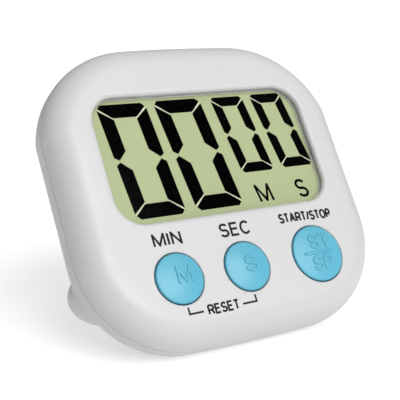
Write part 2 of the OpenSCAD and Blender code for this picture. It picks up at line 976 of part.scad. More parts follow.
front_case();
back_case();
window_lens();
lcd_polariser();
lcd_front_glass();
lcd_rear_glass();
lcd_reflector();
lcd_frame();
zebra_strip();
main_pcb();
chip_cover();
crystal();
smd_parts();
button_min();
button_sec();
button_start();
dome_min();
dome_sec();
dome_start();
pill_min();
pill_sec();
pill_start();
buzzer_plate();
buzzer_ceramic();
buzzer_wires();
battery();
battery_spring();
battery_plate();
battery_wire_black();
battery_wire_red();
battery_door();
stand();
stand_pin();
magnet();
case_screws();
pcb_screws();
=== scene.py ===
"""Digital countdown timer: the moulded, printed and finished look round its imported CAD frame.

Shapes are worked out in the frame of the front face, in millimetres: u to the right, v up the
face, n out of it, with the case's centre at u = v = 0 and the face at n = 0. FACE turns that
into the row frame, in metres.
"""

import json
import math

import bpy
import numpy as np
import openvdb
from mathutils import Matrix, Vector


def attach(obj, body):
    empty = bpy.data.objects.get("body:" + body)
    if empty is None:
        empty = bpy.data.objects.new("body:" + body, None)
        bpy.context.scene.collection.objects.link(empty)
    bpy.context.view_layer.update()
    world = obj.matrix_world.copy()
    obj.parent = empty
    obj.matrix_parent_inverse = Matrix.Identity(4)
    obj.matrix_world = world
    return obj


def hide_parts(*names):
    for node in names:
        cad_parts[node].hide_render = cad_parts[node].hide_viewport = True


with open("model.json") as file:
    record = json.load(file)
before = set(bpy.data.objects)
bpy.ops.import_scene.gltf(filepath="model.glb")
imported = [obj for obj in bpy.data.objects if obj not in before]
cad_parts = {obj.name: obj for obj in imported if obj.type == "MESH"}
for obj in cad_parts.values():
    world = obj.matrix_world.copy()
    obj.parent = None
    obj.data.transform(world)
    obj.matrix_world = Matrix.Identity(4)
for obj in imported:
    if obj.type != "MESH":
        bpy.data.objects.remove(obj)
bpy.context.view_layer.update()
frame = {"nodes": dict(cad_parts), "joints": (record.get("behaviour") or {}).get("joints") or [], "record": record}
RECORD = frame["record"]
NODES = frame["nodes"]

# ---- Case, in millimetres ----
HALF_W = 36.0
HALF_H = 34.2
TOP_CORNER_R = 23.5
BOTTOM_CORNER_R = 21.5
CREASE = math.radians(11)
BOW = math.radians(2)
CASE_D = 13.0
SEAM = -6.0
SEAM_GAP = 0.01
SEAM_EDGE_R = 0.15
RIM_IN = 6.0
RIM_DOWN = 7.0
BACK_EDGE_R = 4.5
FACE_WALL = 1.8
SIDE_WALL = 1.6
INNER_RIM_IN = 4.6
INNER_BACK = -CASE_D + SIDE_WALL

# ---- Window and display ----
WINDOW_HALF_W = 26.15
WINDOW_HALF_H = 14.2
WINDOW_V = 6.5
WINDOW_R = 6.0
WINDOW_LIP_R = 0.9
LENS_SEAT = -1.48
LENS_MARGIN = 2.1
FILM_TOP = -2.05
BORDER_LOW = -2.04
BORDER_IN = 0.02
BORDER_OUT = 1.5
INK_T = 0.03
DIGIT_LIFT = 0.002
SIGN_LIFT = 0.02
SIGN_V = (-6.24, -1.8)
SIGN_WEIGHT = 0.62
LABEL_N = 0.003
BRACKET_W = 0.4

# ---- Buttons ----
BUTTON_V = -20.0
BORE_GAP = 0.25
BORE_LIP_R = 0.2
CROWN = 0.8
CAP_EDGE_R = 0.25
CROWN_TOP = 1.0
FLANGE_TOP = -1.85
FLANGE_T = 1.0
FLANGE_OUT = 1.0
STEM_R = 1.9
STEM_BOTTOM = -3.55
BUTTONS = {
    "min": {"u": -17.1, "r": 5.25, "body": "minutes_button"},
    "sec": {"u": -0.9, "r": 5.25, "body": "seconds_button"},
    "start": {"u": 17.5, "r": 6.25, "body": "start_button"},
}

# ---- Battery bay and door ----
CELL_V = -17.5
CELL_N = -13.3
BAY_R = 5.45
BAY_LEFT = -25.4
BAY_RIGHT = 23.1
END_WALL = 1.2
TROUGH_R = 6.45
RIDGE_R = 6.55
RIDGE_STRAIGHT = 26.3
RIDGE_END_L = 9.3
RIDGE_FILLET = 0.8
DOOR_LEFT = -24.4
DOOR_GAP = 0.1
RAIL_RIGHT = 24.0
FLANGE_HALF_W = 7.65
RAIL_T = 1.2
RAIL_LIP = 0.9
RAIL_H = 2.0
RAIL_GAP = 0.1
LIP_GAP = 0.2
PLUG_GAP = 0.1
DOOR_END_PLAY = 0.4
FLANGE_OVERLAP = 0.6
FLANGE_H = 0.9
GRIP_COUNT = 6
GRIP_U = 10
GRIP_PITCH = 1.5
GRIP_HALF_W = 0.38
GRIP_DEPTH = 0.42
GRIP_HALF_ANGLE = 0.72
ARROW_BACK_U = 2.2
ARROW_TIP_U = 6.4
ARROW_SLOPE = (0.5, 0.87)
ARROW_DEPTH = 0.3

# ---- Stand ----
PIVOT_V = -5.4
PIVOT_N = -15.2
PIN_R = 0.9
EAR_R = 2.2
EAR_U = 13.2
EAR_T = 3.0
BARREL_R = 1.9
EAR_PLAY = 0.03
STAND_L = 27.0
STAND_HALF_W = 13.0
FOOT_HALF_W = 10.0
PLATE_IN = 1.8
PLATE_T = 2.4
FOOT_R = 1.5
PUCK_S = 15.0
PUCK_R = 7.5
PUCK_TOP = 4.65
MAGNET_R = 6.55
MAGNET_BOTTOM = 1.65
PUCK_LOW = -0.5
PUCK_FILLET = 1.2
RECESS_Y = 5.0
RECESS_HALF_W = 6.0
RECESS_HALF_L = 1.5
RECESS_R = 1.4
RECESS_FLOOR = 0.25
BARREL_PLAY = 0.06

# ---- Fasteners, hanging hole and buzzer ----
CASE_BOSS_R = 2.5
CASE_BOSS_BORE = 1.15
PCB_BOSS_R = 2.0
PCB_BOSS_BORE = 0.9
PCB_SEAT = -5.58
BOSS_CAP = 0.7
CASE_POST_R = 2.8
POST_GAP = 0.02
SHAFT_HOLE_R = 1.3
HEAD_HOLE_R = 2.25
HEAD_HOLE_DEPTH = 1.4
CASE_SCREWS = ((-20, 26.9), (20, 26.9), (-9.5, -28.3), (9.5, -28.3))
PCB_SCREWS = ((-12, 25.4), (12, 25.4), (-29.8, -14.8), (29.8, -14.8))
HANG_V = 27.0
HANG_R = 2.75
HANG_DEPTH = 3.0
HANG_WALL = 1.2
HANG_FLOOR = 1
BUZZER_AT = (21.0, 10.0)
SOUND_HOLE_R = 0.7
SOUND_RING_R = 3.5
BUZZER_RING_OUT = 10.8
BUZZER_RING_IN = 9.4
BUZZER_RING_H = 1.8
BUZZER_HOLE_H = 3

# ---- How far shapes run into each other or past what they cut ----
POST_SINK = 0.3
BACK_SINK = 0.4
OVER = 1

MM = 0.001


# ---- The face's frame ----

def mount(name):
    """The record's mount of that name."""
    return next(m for m in RECORD["mounts"] if m["name"] == name)


def joint(name):
    """The frame's joint of that name."""
    return next(j for j in frame["joints"] if j["name"] == name)


def face_frame():
    """From the face's frame, in millimetres, to the row frame, by way of the hanging hole's mount."""
    hole = mount("hanging_hole")
    out = -Vector(hole["axis"]).normalized()
    across = Vector((1, 0, 0))
    up = out.cross(across)
    middle_n = -CASE_D + HANG_DEPTH / 2
    origin = Vector(hole["pos_m"]) - MM * (HANG_V * up + middle_n * out)
    turn = Matrix((across, up, out)).transposed()
    return Matrix.Translation(origin) @ turn.to_4x4() @ Matrix.Scale(MM, 4)


def stand_frame():
    """From the stand's frame (x across, y from the hinge to the foot, z outwards) to the row frame."""
    angle = math.radians(max(joint("stand_hinge")["range_deg"], key=abs))
    return (
        FACE
        @ Matrix.Translation((0, PIVOT_V, PIVOT_N))
        @ Matrix.Rotation(-abs(angle), 4, "X")
        @ Matrix.Scale(-1, 4, (0, 0, 1))
    )


FACE = face_frame()
STAND = stand_frame()


# ---- Distance fields ----

def round_max(a, b, r):
    """Where both fields are inside, with the edge between them rounded to radius r."""
    return np.minimum(np.maximum(a, b), -r) + np.hypot(np.maximum(a + r, 0), np.maximum(b + r, 0))


def round_min(a, b, r):
    """Either field, with a fillet of radius r between them."""
    return -round_max(-a, -b, r)


def slab(x, low, high):
    return np.maximum(low - x, x - high)


def box_field(u, v, n, low, high, r=0.15):
    """A box between two corners, with its edges rounded."""
    d = round_max(slab(u, low[0], high[0]), slab(v, low[1], high[1]), r)
    return round_max(d, slab(n, low[2], high[2]), r)


def post_field(u, v, n, at, radius, low, high, r=0.15):
    """A cylinder along n."""
    return round_max(np.hypot(u - at[0], v - at[1]) - radius, slab(n, low, high), r)


def rounded_rectangle(u, v, half_w, half_h, r):
    qu = np.abs(u) - half_w + r
    qv = np.abs(v) - half_h + r
    return np.hypot(np.maximum(qu, 0), np.maximum(qv, 0)) + np.minimum(np.maximum(qu, qv), 0) - r


def ellipse_corner(x, y, a, b):
    """Distance to an ellipse quarter of half axes a and b, running on straight past its ends."""
    x = np.maximum(x, 0)
    y = np.maximum(y, 0)
    near = np.hypot(x / a, y / b)
    slope = np.maximum(np.hypot(x / a**2, y / b**2), 1e-9)
    return np.where(near > 0, near * (near - 1) / slope, -min(a, b))


def outline_field(u, v):
    """Distance to the case's outline: bowed top and bottom, round corners, straight sides."""
    au = np.abs(u)
    top_u = HALF_W - TOP_CORNER_R * (math.cos(CREASE) - math.sin(BOW))
    bottom_u = HALF_W - BOTTOM_CORNER_R * (1 - math.sin(BOW))
    d = au - HALF_W
    for side, end_u, r in ((1, top_u, TOP_CORNER_R), (-1, bottom_u, BOTTOM_CORNER_R)):
        bow_r = end_u / math.sin(BOW)
        height = side * v
        bow_centre = HALF_H - bow_r
        d = np.maximum(d, np.hypot(au, height - bow_centre) - bow_r)
        corner_u = end_u - r * math.sin(BOW)
        corner_v = HALF_H - bow_r * (1 - math.cos(BOW)) - r * math.cos(BOW)
        qu = au - corner_u
        qv = height - corner_v
        here = (qv > 0) & (qu > qv * math.tan(BOW))
        d = np.where(here, np.maximum(d, np.hypot(qu, qv) - r), d)
    return d


def ridge_field(u, v, n):
    """The round ridge over the cell, with elliptical ends."""
    around = np.hypot(v - CELL_V, n - CELL_N)
    along = np.abs(u) - RIDGE_STRAIGHT
    return ellipse_corner(along, around, RIDGE_END_L, RIDGE_R)


def rim_field(edge, n):
    """The case's side, and the rounding that leads from it onto the face."""
    return ellipse_corner(edge + RIM_IN, n + RIM_DOWN, RIM_IN, RIM_DOWN)


def front_case_field(u, v, n):
    """The front shell: rounded rim, screw bosses, window with its lens seat, and button bores."""
    edge = outline_field(u, v)
    outer = rim_field(edge, n)
    outer = round_max(outer, SEAM + SEAM_GAP - n, SEAM_EDGE_R)
    inner_down = RIM_DOWN - FACE_WALL
    cavity = ellipse_corner(edge + SIDE_WALL + INNER_RIM_IN, n + RIM_DOWN, INNER_RIM_IN, inner_down)
    d = np.maximum(outer, -cavity)
    for at in CASE_SCREWS:
        d = np.minimum(d, screw_boss(u, v, n, at, CASE_BOSS_R, CASE_BOSS_BORE, SEAM))
    for at in PCB_SCREWS:
        d = np.minimum(d, screw_boss(u, v, n, at, PCB_BOSS_R, PCB_BOSS_BORE, PCB_SEAT))
    window = rounded_rectangle(u, v - WINDOW_V, WINDOW_HALF_W, WINDOW_HALF_H, WINDOW_R)
    d = round_max(d, -window, WINDOW_LIP_R)
    seat = rounded_rectangle(
        u, v - WINDOW_V, WINDOW_HALF_W + LENS_MARGIN, WINDOW_HALF_H + LENS_MARGIN,
        WINDOW_R + LENS_MARGIN,
    )
    d = np.maximum(d, -np.maximum(seat, n - LENS_SEAT))
    for b in BUTTONS.values():
        bore = np.hypot(u - b["u"], v - BUTTON_V) - b["r"] - BORE_GAP
        d = round_max(d, -bore, BORE_LIP_R)
    return d


def screw_boss(u, v, n, at, radius, bore, bottom):
    """A post under the face with a blind hole for a screw."""
    boss = post_field(u, v, n, at, radius, bottom, -FACE_WALL + POST_SINK)
    hole = post_field(u, v, n, at, bore, bottom - OVER, -FACE_WALL - BOSS_CAP)
    return np.maximum(boss, -hole)


def back_case_field(u, v, n):
    """The back shell: the ridge's fixed end, battery trough, rails, ears, posts and holes."""
    edge = outline_field(u, v)
    shell = round_max(rim_field(edge, n), -CASE_D - n, BACK_EDGE_R)
    shell = round_max(shell, n - SEAM + SEAM_GAP, SEAM_EDGE_R)
    ridge = ridge_field(u, v, n)
    blended = round_min(shell, ridge, RIDGE_FILLET)
    blended = np.maximum(blended, n - SEAM + SEAM_GAP)
    kept = np.minimum(u - DOOR_LEFT, -CASE_D - n)
    shell = np.minimum(shell, round_max(blended, kept, 0.2))
    cavity = round_max(edge + SIDE_WALL, INNER_BACK - n, BACK_EDGE_R - SIDE_WALL)
    d = np.maximum(shell, -cavity)
    d = np.minimum(d, trough_field(u, v, n))
    d = round_min(d, rails_field(u, v, n), 0.3)
    d = round_min(d, ears_field(u, v, n), 0.6)
    for at in CASE_SCREWS:
        post = post_field(u, v, n, at, CASE_POST_R, INNER_BACK - POST_SINK, SEAM - POST_GAP)
        d = np.minimum(d, post)
    hang_boss = post_field(
        u, v, n, (0, HANG_V), HANG_R + HANG_WALL, INNER_BACK - POST_SINK, -CASE_D + HANG_DEPTH + HANG_FLOOR
    )
    d = np.minimum(d, hang_boss)
    d = np.minimum(d, buzzer_ring(u, v, n))
    bay = np.maximum(np.hypot(v - CELL_V, n - CELL_N) - BAY_R, slab(u, BAY_LEFT, BAY_RIGHT))
    d = np.maximum(d, -bay)
    return cut_holes(d, u, v, n)


def trough_field(u, v, n):
    """The round trough the cell lies in, and the plug that closes its right end."""
    around = np.hypot(v - CELL_V, n - CELL_N)
    d = round_max(around - TROUGH_R, slab(u, BAY_LEFT - END_WALL, BAY_RIGHT + END_WALL), 0.4)
    d = np.maximum(d, -CASE_D - n)
    plug = np.maximum(around - BAY_R + PLUG_GAP, slab(u, BAY_RIGHT, BAY_RIGHT + END_WALL))
    return np.minimum(d, plug)


def rails_field(u, v, n):
    """The two rails that hold the door's flanges."""
    away = np.abs(v - CELL_V)
    inner = FLANGE_HALF_W + RAIL_GAP
    outer = inner + RAIL_T
    wall = box_field(
        u, away, n,
        (DOOR_LEFT, inner, -CASE_D - RAIL_H),
        (RAIL_RIGHT, outer, -CASE_D + BACK_SINK),
    )
    lip = box_field(
        u, away, n,
        (DOOR_LEFT, RIDGE_R + LIP_GAP, -CASE_D - RAIL_H),
        (RAIL_RIGHT, outer, -CASE_D - RAIL_H + RAIL_LIP),
    )
    return np.minimum(wall, lip)


def ears_field(u, v, n):
    """The two ears that hold the stand's pin."""
    away = np.abs(u)
    side = slab(away, EAR_U, EAR_U + EAR_T)
    tip = round_max(np.hypot(v - PIVOT_V, n - PIVOT_N) - EAR_R, side, 0.3)
    web = box_field(
        away, v, n,
        (EAR_U, PIVOT_V - EAR_R, PIVOT_N),
        (EAR_U + EAR_T, PIVOT_V + EAR_R, -CASE_D + BACK_SINK),
        0.3,
    )
    bore = np.maximum(np.hypot(v - PIVOT_V, n - PIVOT_N) - PIN_R - EAR_PLAY, -side - OVER)
    return np.maximum(np.minimum(tip, web), -bore)


def buzzer_ring(u, v, n):
    """The ring inside the back that holds the buzzer."""
    wall = post_field(
        u, v, n, BUZZER_AT, BUZZER_RING_OUT, INNER_BACK - POST_SINK, INNER_BACK + BUZZER_RING_H
    )
    hole = post_field(u, v, n, BUZZER_AT, BUZZER_RING_IN, INNER_BACK, INNER_BACK + BUZZER_HOLE_H)
    return np.maximum(wall, -hole)


def cut_holes(d, u, v, n):
    """The screw holes, the hanging hole and the sound holes, with softened edges."""
    for at in CASE_SCREWS:
        away = np.hypot(u - at[0], v - at[1])
        shaft = np.maximum(away - SHAFT_HOLE_R, -CASE_D - OVER - n)
        head = np.maximum(away - HEAD_HOLE_R, n + CASE_D - HEAD_HOLE_DEPTH)
        d = round_max(d, -np.minimum(shaft, head), 0.2)
    hang = np.maximum(np.hypot(u, v - HANG_V) - HANG_R, n + CASE_D - HANG_DEPTH)
    d = round_max(d, -hang, 0.3)
    spots = [BUZZER_AT] + [
        (
            BUZZER_AT[0] + SOUND_RING_R * math.cos(k * math.pi / 3),
            BUZZER_AT[1] + SOUND_RING_R * math.sin(k * math.pi / 3),
        )
        for k in range(6)
    ]
    for at in spots:
        hole = np.maximum(np.hypot(u - at[0], v - at[1]) - SOUND_HOLE_R, n - INNER_BACK - BACK_SINK)
        d = round_max(d, -hole, 0.15)
    return d


def door_field(u, v, n):
    """The sliding door: ridge, hollow underneath, flanges, grip grooves and an arrow."""
    ridge = ridge_field(u, v, n)
    d = round_max(ridge, DOOR_LEFT + DOOR_GAP - u, 0.25)
    d = round_max(d, n + CASE_D + DOOR_GAP, 0.1)
    around = np.hypot(v - CELL_V, n - CELL_N)
    hollow = np.maximum(around - BAY_R, slab(u, DOOR_LEFT - OVER, BAY_RIGHT + END_WALL + DOOR_END_PLAY))
    d = np.maximum(d, -hollow)
    flange = box_field(
        u, np.abs(v - CELL_V), n,
        (DOOR_LEFT + DOOR_GAP, RIDGE_R - FLANGE_OVERLAP, -CASE_D - FLANGE_H),
        (RAIL_RIGHT, FLANGE_HALF_W, -CASE_D - DOOR_GAP),
    )
    d = np.minimum(d, flange)
    angle = np.abs(np.arctan2(v - CELL_V, CELL_N - n))
    for k in range(GRIP_COUNT):
        groove = round_max(np.abs(u - GRIP_U - GRIP_PITCH * k) - GRIP_HALF_W, -(ridge + GRIP_DEPTH), 0.1)
        groove = round_max(groove, (angle - GRIP_HALF_ANGLE) * RIDGE_R, 0.3)
        d = round_max(d, -groove, 0.15)
    sides = (u - ARROW_TIP_U) * ARROW_SLOPE[0] + np.abs(v - CELL_V) * ARROW_SLOPE[1]
    arrow = np.maximum(-(u - ARROW_BACK_U), sides)
    arrow = np.maximum(arrow, -(ridge + ARROW_DEPTH))
    return round_max(d, -np.maximum(arrow, n - CELL_N), 0.12)


def stand_field(x, y, z):
    """The fold-out stand, in its own frame."""
    low = -PLATE_IN
    high = PLATE_T - PLATE_IN
    slope = (STAND_HALF_W - FOOT_HALF_W) / STAND_L
    half_w = STAND_HALF_W - slope * y
    side = (np.abs(x) - half_w) / math.hypot(1, slope)
    plate = round_max(side, slab(y, 0, STAND_L), 0.4)
    plate = round_max(plate, slab(z, low, high), 0.5)
    barrel = round_max(np.hypot(y, z) - BARREL_R, np.abs(x) - STAND_HALF_W, 0.3)
    foot_n = high - PLATE_T / 2
    foot = round_max(np.hypot(y - STAND_L, z - foot_n) - FOOT_R, np.abs(x) - FOOT_HALF_W - 0.3, 0.8)
    d = round_min(plate, np.minimum(barrel, foot), 0.5)
    puck = round_max(np.hypot(x, y - PUCK_S) - PUCK_R, slab(z, PUCK_LOW, PUCK_TOP), 0.35)
    d = round_min(d, puck, PUCK_FILLET)
    recess = rounded_rectangle(x, y - RECESS_Y, RECESS_HALF_W, RECESS_HALF_L, RECESS_R)
    d = round_max(d, -np.maximum(recess, RECESS_FLOOR - z), 0.2)
    pocket = np.maximum(np.hypot(x, y - PUCK_S) - MAGNET_R, MAGNET_BOTTOM - z)
    d = round_max(d, -pocket, 0.1)
    bore = np.hypot(y, z) - PIN_R - BARREL_PLAY
    return np.maximum(d, -bore)


# ---- Letters as strokes, for the printed words and the marks moulded on the buttons ----

def arc_points(cx, cy, rx, ry, start, end, steps=10):
    angles = np.linspace(math.radians(start), math.radians(end), steps)
    return [(cx + rx * math.cos(a), cy + ry * math.sin(a)) for a in angles]


LETTER_WIDTHS = {
    "M": 0.83, "I": 0.02, "N": 0.66, "S": 0.66, "E": 0.62, "C": 0.76,
    "T": 0.67, "A": 0.82, "R": 0.72, "/": 0.3, "O": 0.84, "P": 0.63,
}
LETTER_SPACE = 0.3


def letter(which):
    """The strokes of a capital letter in a box from (0, 0) to (1, 1), as lists of points."""
    bowl = [(0, 0.46), (0.6, 0.46), *arc_points(0.6, 0.73, 0.4, 0.27, -90, 90), (0, 1)]
    strokes = {
        "M": [[(0, 0), (0, 1), (0.5, 0.06), (1, 1), (1, 0)]],
        "I": [[(0.5, 0), (0.5, 1)]],
        "N": [[(0, 0), (0, 1), (1, 0), (1, 1)]],
        "E": [[(1, 0), (0, 0), (0, 1), (1, 1)], [(0, 0.53), (0.93, 0.53)]],
        "C": [arc_points(0.52, 0.5, 0.52, 0.5, 42, 318, 20)],
        "T": [[(0, 1), (1, 1)], [(0.5, 1), (0.5, 0)]],
        "A": [[(0, 0), (0.5, 1), (1, 0)], [(0.17, 0.33), (0.83, 0.33)]],
        "R": [[(0, 0), (0, 1)], bowl, [(0.55, 0.46), (0.78, 0.3), (1, 0)]],
        "P": [[(0, 0), (0, 1)], bowl],
        "/": [[(0, 0), (1, 1)]],
        "O": [arc_points(0.5, 0.5, 0.5, 0.5, 90, 270, 16), arc_points(0.5, 0.5, 0.5, 0.5, 270, 450, 16)],
        "S": [
            arc_points(0.5, 0.745, 0.46, 0.255, 25, 262, 14)
            + arc_points(0.5, 0.255, 0.5, 0.255, 82, -158, 14)
        ],
    }
    return strokes[which]


def stroke_distance(u, v, points):
    """Distance from (u, v) to a line through the points."""
    d = np.full(np.broadcast(u, v).shape, 99.0, np.float32)
    for (au, av), (bu, bv) in zip(points, points[1:]):
        du, dv = bu - au, bv - av
        length2 = max(du * du + dv * dv, 1e-9)
        t = np.clip(((u - au) * du + (v - av) * dv) / length2, 0, 1)
        d = np.minimum(d, np.hypot(u - au - t * du, v - av - t * dv))
    return d


def mark_distance(u, v, words):
    """Distance to the letters of some words, each word as (text, u, v, width, height, pitch)."""
    d = np.full(np.broadcast(u, v).shape, 99.0, np.float32)
    for text, at_u, at_v, width, height, pitch in words:
        for k, which in enumerate(text):
            u0 = at_u + k * pitch
            for line in letter(which):
                points = [(u0 + width * p[0], at_v + height * p[1]) for p in line]
                d = np.minimum(d, stroke_distance(u, v, points))
    return d


MARKS = {
    "min": [("M", -0.7, -1.05, 3.0, 3.1, 0)],
    "sec": [("S", -0.8, -1.2, 2.6, 3.0, 0)],
    "start": [("ST", -1.8, 1.15, 2.15, 2.65, 2.85), ("SP", -2.2, -3.7, 2.15, 2.65, 2.85)],
}
MARK_HALF_W = 0.35
MARK_FLANK = 0.15
MARK_H = 0.28
BAR_HALF_L = 3.5


def button_field(key):
    """The field of one button: a domed cap with raised marks, its flange and its stem."""
    b = BUTTONS[key]
    ball_r = (b["r"] ** 2 + CROWN**2) / (2 * CROWN)

    def field(u, v, n):
        du, dv = u - b["u"], v - BUTTON_V
        away = np.hypot(du, dv)
        marks = mark_distance(du, dv, MARKS[key])
        if key == "start":
            marks = np.minimum(marks, stroke_distance(du, dv, [(-BAR_HALF_L, 0), (BAR_HALF_L, 0)]))
        rise = MARK_H * np.clip((MARK_HALF_W - marks) / MARK_FLANK, 0, 1)
        dome = np.hypot(away, n - (CROWN_TOP - ball_r)) - ball_r - rise
        cap = round_max(away - b["r"], dome, CAP_EDGE_R)
        cap = np.maximum(cap, FLANGE_TOP - FLANGE_T - n)
        flange = round_max(away - b["r"] - FLANGE_OUT, slab(n, FLANGE_TOP - FLANGE_T, FLANGE_TOP), 0.1)
        stem = round_max(away - STEM_R, slab(n, STEM_BOTTOM, FLANGE_TOP), 0.1)
        return np.minimum(np.minimum(cap, flange), stem)

    return field


# ---- From a field to a mesh ----

def slope(field, points, reach):
    """How fast the field grows along each axis at the points."""
    return np.stack([
        (field(*(points + reach * e).T) - field(*(points - reach * e).T)) / (2 * reach)
        for e in np.eye(3)
    ], axis=1)


SETTLE_ROUNDS = 2
SETTLE_MOST = 0.08
SLOPE_REACH = 0.01
LEAST_SLOPE = 0.5
NORMAL_REACH = 0.06


def mould(name, field, low, high, step, matrix, adaptivity=0.01):
    """A mesh of the surface where the field is zero, with smooth normals, placed by matrix.

    The mesher rounds off edges finer than its step, so each vertex is then settled onto the field itself.
    """
    counts = [int(math.ceil((h - l) / step)) + 1 for l, h in zip(low, high)]
    axes = [(l + step * np.arange(c)).astype(np.float32) for l, c in zip(low, counts)]
    u, v, n = np.meshgrid(*axes, indexing="ij", sparse=True)
    values = np.clip(np.broadcast_to(field(u, v, n), counts), -1, 1).astype(np.float32)
    grid = openvdb.FloatGrid(1.0)
    grid.copyFromArray(values)
    points, triangles, quads = grid.convertToPolygons(0.0, adaptivity)
    placed = np.array(low) + np.asarray(points, float) * step
    for _ in range(SETTLE_ROUNDS):
        steepest = slope(field, placed, SLOPE_REACH)
        off = np.clip(field(*placed.T), -SETTLE_MOST, SETTLE_MOST)
        placed -= (off / np.maximum((steepest**2).sum(axis=1), LEAST_SLOPE**2))[:, None] * steepest
    normals = slope(field, placed, NORMAL_REACH)
    m = np.array(matrix)
    placed = placed @ m[:3, :3].T + m[:3, 3]
    turn = np.linalg.inv(m[:3, :3]).T
    normals = normals @ turn.T
    normals /= np.maximum(np.linalg.norm(normals, axis=1, keepdims=True), 1e-12)
    faces = [list(map(int, t)) for t in triangles] + [list(map(int, q)) for q in quads]
    first = np.array([f[:3] for f in faces])
    a, b, c = placed[first[:, 0]], placed[first[:, 1]], placed[first[:, 2]]
    if (np.cross(b - a, c - a) * normals[first[:, 0]]).sum() < 0:
        faces = [f[::-1] for f in faces]
    mesh = bpy.data.meshes.new(name)
    mesh.from_pydata(placed.tolist(), [], faces)
    mesh.shade_smooth()
    mesh.normals_split_custom_set_from_vertices(normals.tolist())
    return link(name, mesh)


def link(name, data):
    """A new object with that mesh, light or camera, in the scene."""
    obj = bpy.data.objects.new(name, data)
    bpy.context.scene.collection.objects.link(obj)
    return obj


def finish_piece(obj, material, body, slot, *replaced):
    """Gives a new piece its material and body, and hides the CAD nodes that it stands for; the slot is not used.
    """
    obj.data.materials.clear()
    obj.data.materials.append(material)
    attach(obj, body)
    if replaced:
        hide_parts(*replaced)


# ---- Flat ink ----

def prism(name, polygons, low, high, matrix=None):
    """One mesh of flat shapes, each extruded from n = low to n = high."""
    verts, faces = [], []
    for points in polygons:
        count = len(points)
        start = len(verts)
        verts += [(p[0], p[1], low) for p in points] + [(p[0], p[1], high) for p in points]
        faces.append([start + k for k in range(count - 1, -1, -1)])
        faces.append([start + count + k for k in range(count)])
        for k in range(count):
            after = (k + 1) % count
            faces.append([start + k, start + after, start + count + after, start + count + k])
    mesh = bpy.data.meshes.new(name)
    mesh.from_pydata(verts, [], faces)
    mesh.transform(matrix or FACE)
    return link(name, mesh)


SHARP_TURN = -0.2
CORNER_CUT = 0.6


def outlined(points, width):
    """A line through the points, as the outline of a band of that width with sharp corners cut off."""
    p = [Vector(q) for q in points]
    half = width / 2
    left, right = [], []
    for k, here in enumerate(p):
        before = (here - p[k - 1]).normalized() if k else (p[1] - p[0]).normalized()
        after = (p[k + 1] - here).normalized() if k + 1 < len(p) else before
        middle = (before + after).normalized()
        aside = Vector((-middle.y, middle.x))
        across = Vector((-before.y, before.x))
        across_after = Vector((-after.y, after.x))
        reach = half / max(aside.dot(across), 0.3)
        turn = before.x * after.y - before.y * after.x
        for points_there, side in ((left, half), (right, -half)):
            if before.dot(after) < SHARP_TURN and turn * side < 0:
                points_there.append(here + side * across + CORNER_CUT * half * before)
                points_there.append(here + side * across_after - CORNER_CUT * half * after)
            else:
                points_there.append(here + math.copysign(reach, side) * aside)
    return [tuple(q) for q in right + left[::-1]]


def lettering(name, words, box, depth_n, weight, slant=0.0, climb=0.0):
    """Words as thin solid ink in strokes of one weight, fitted to a box of low u, high u, low v, high v."""
    low_u, high_u, low_v, high_v = box
    widths = [LETTER_WIDTHS[which] for which in words]
    total = sum(widths) + LETTER_SPACE * (len(words) - 1)
    height = high_v - low_v - weight
    scale = (high_u - low_u - weight) / total
    shapes = []
    at = low_u + weight / 2
    for which, wide in zip(words, widths):
        for line in letter(which):
            points = [
                (
                    at + wide * scale * p[0] + slant * height * (1 - p[1]),
                    low_v + weight / 2 + height * p[1] + climb * (at + wide * scale * p[0] - low_u),
                )
                for p in line
            ]
            shapes.append(outlined(points, weight))
        at += (wide + LETTER_SPACE) * scale
    return prism(name, shapes, depth_n - INK_T / 2, depth_n + INK_T / 2)


def flip_u(shape, width):
    """The shape mirrored from left to right within a width."""
    return [(width - p[0], p[1]) for p in reversed(shape)]


def flip_v(shape, height):
    """The shape mirrored from top to bottom within a height."""
    return [(p[0], height - p[1]) for p in reversed(shape)]


def digit_zero(left, top, width, height, slant, gap):
    """The lit segments of a zero and the light lines between them, as polygons on the film.

    The segments' proportions are shares of the digit's width.
    """
    bar = width * 0.27
    mid = height / 2
    half = gap / 2
    corner = width * 0.09
    outer_v = height - width * 0.085
    inner_v = height - bar * 1.07
    end = 0.02 * width
    upper_right = [
        (width, outer_v - half * 1.2),
        (width, mid + half + corner * 0.65),
        (width - corner, mid + half),
        (width - bar, mid + half + width * 0.17),
        (width - bar, inner_v - half),
    ]
    top_bar = [
        (end, outer_v + half * 0.6),
        (corner, height),
        (width - corner, height),
        (width - end, outer_v + half * 0.6),
        (width - bar + half, inner_v + half),
        (bar - half, inner_v + half),
    ]
    thin = gap * 0.26
    line = [
        (width - end, outer_v + thin),
        (width - bar, inner_v + thin),
        (width - bar, inner_v - thin),
        (width - end, outer_v - thin),
    ]
    shapes = [top_bar, flip_v(top_bar, height)]
    lines = []
    for shape, group in ((upper_right, shapes), (line, lines)):
        upper_left = flip_u(shape, width)
        group += [shape, upper_left, flip_v(shape, height), flip_v(upper_left, height)]

    def place(shape):
        return [(left + p[0] + slant * (height - p[1]), top - height + p[1]) for p in shape]

    return [place(s) for s in shapes], [place(s) for s in lines]


# ---- Materials ----

